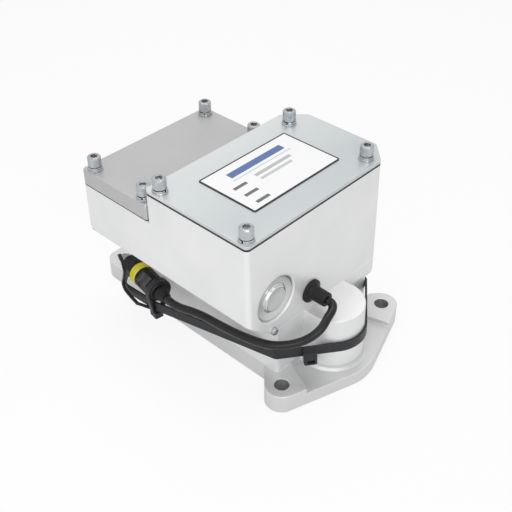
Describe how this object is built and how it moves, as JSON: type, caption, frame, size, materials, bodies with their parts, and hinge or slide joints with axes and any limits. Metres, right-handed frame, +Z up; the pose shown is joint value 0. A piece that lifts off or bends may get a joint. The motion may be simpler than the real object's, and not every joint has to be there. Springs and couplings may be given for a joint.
{
  "type": "engine governor actuator",
  "caption": "Electric actuator for an engine governor: a cast housing on a bolting flange, with a limited-angle torque motor, output lever, link and plugged cable.",
  "frame": {"origin": "midway between the two front mounting holes, on the mounting face", "axes": "+X to the right along the front, +Y to the rear, +Z up out of the mounting face"},
  "size_m": [0.1369, 0.2099, 0.1384],
  "materials": {
    "cast_body": "satin, fine cast grain",
    "top_plate": "satin, cool grey",
    "rear_plate": "cast, neutral grey",
    "gasket": "matt",
    "nameplate": "printed foil",
    "zinc_steel": "bright zinc plate",
    "plug_steel": "pressed, bright",
    "bearing_steel": "ground",
    "black_rubber": "matt",
    "black_plastic": "moulded",
    "yellow_seal": "silicone",
    "grey_plastic": "moulded",
    "tie_nylon": "nylon",
    "plain_steel": "machined",
    "core_iron": "laminated",
    "bobbin_nylon": "moulded",
    "copper_wire": "enamelled"
  },
  "bodies": {
    "casing": {"housing": "cast_body", "top_gasket": "gasket", "top_cover": "top_plate", "rear_gasket": "gasket", "rear_cover": "rear_plate", "nameplate": "nameplate", "top_cover_screws": "zinc_steel", "top_spring_washers": "zinc_steel", "top_flat_washers": "zinc_steel", "rear_cover_screws": "zinc_steel", "rear_spring_washers": "zinc_steel", "rear_flat_washers": "zinc_steel", "core_plug": "plug_steel", "front_bearing": "bearing_steel", "rear_bearing": "bearing_steel", "cable_grommet": "black_rubber", "cable": "black_rubber", "connector_body": "black_plastic", "connector_seal_ring": "yellow_seal", "connector_socket": "black_plastic", "connector_boot": "black_rubber", "connector_latch": "grey_plastic", "long_tie": "tie_nylon", "long_tie_head": "tie_nylon", "small_tie": "tie_nylon", "ground_screw": "zinc_steel", "pole_core": "core_iron", "coil_bobbin": "bobbin_nylon", "coil_winding": "copper_wire", "core_screws": "zinc_steel", "return_spring": "plain_steel", "spring_post": "plain_steel", "stop_pins": "plain_steel"},
    "rotor": {"shaft": "plain_steel", "armature": "core_iron", "output_lever": "plain_steel", "lever_set_screw": "plain_steel", "link_pin": "zinc_steel"},
    "rack_link": {"rack_link": "plain_steel"}
  },
  "joints": [
    {"name": "shaft_turn", "type": "hinge", "parent": "casing", "child": "rotor", "pos_m": [-0.048, 0.08, 0.0767], "axis": [0, 1, 0], "range_deg": [0, 25], "stiffness_Nm_per_rad": 1, "springref_deg": -28.65},
    {"name": "link_swing", "type": "hinge", "parent": "rotor", "child": "rack_link", "pos_m": [-0.00211, 0.121, 0.08687], "axis": [0, 1, 0], "range_deg": [-25, 0]}
  ],
  "couplings": [
    {"joint": "link_swing", "follows": "shaft_turn", "ratio": -1}
  ]
}
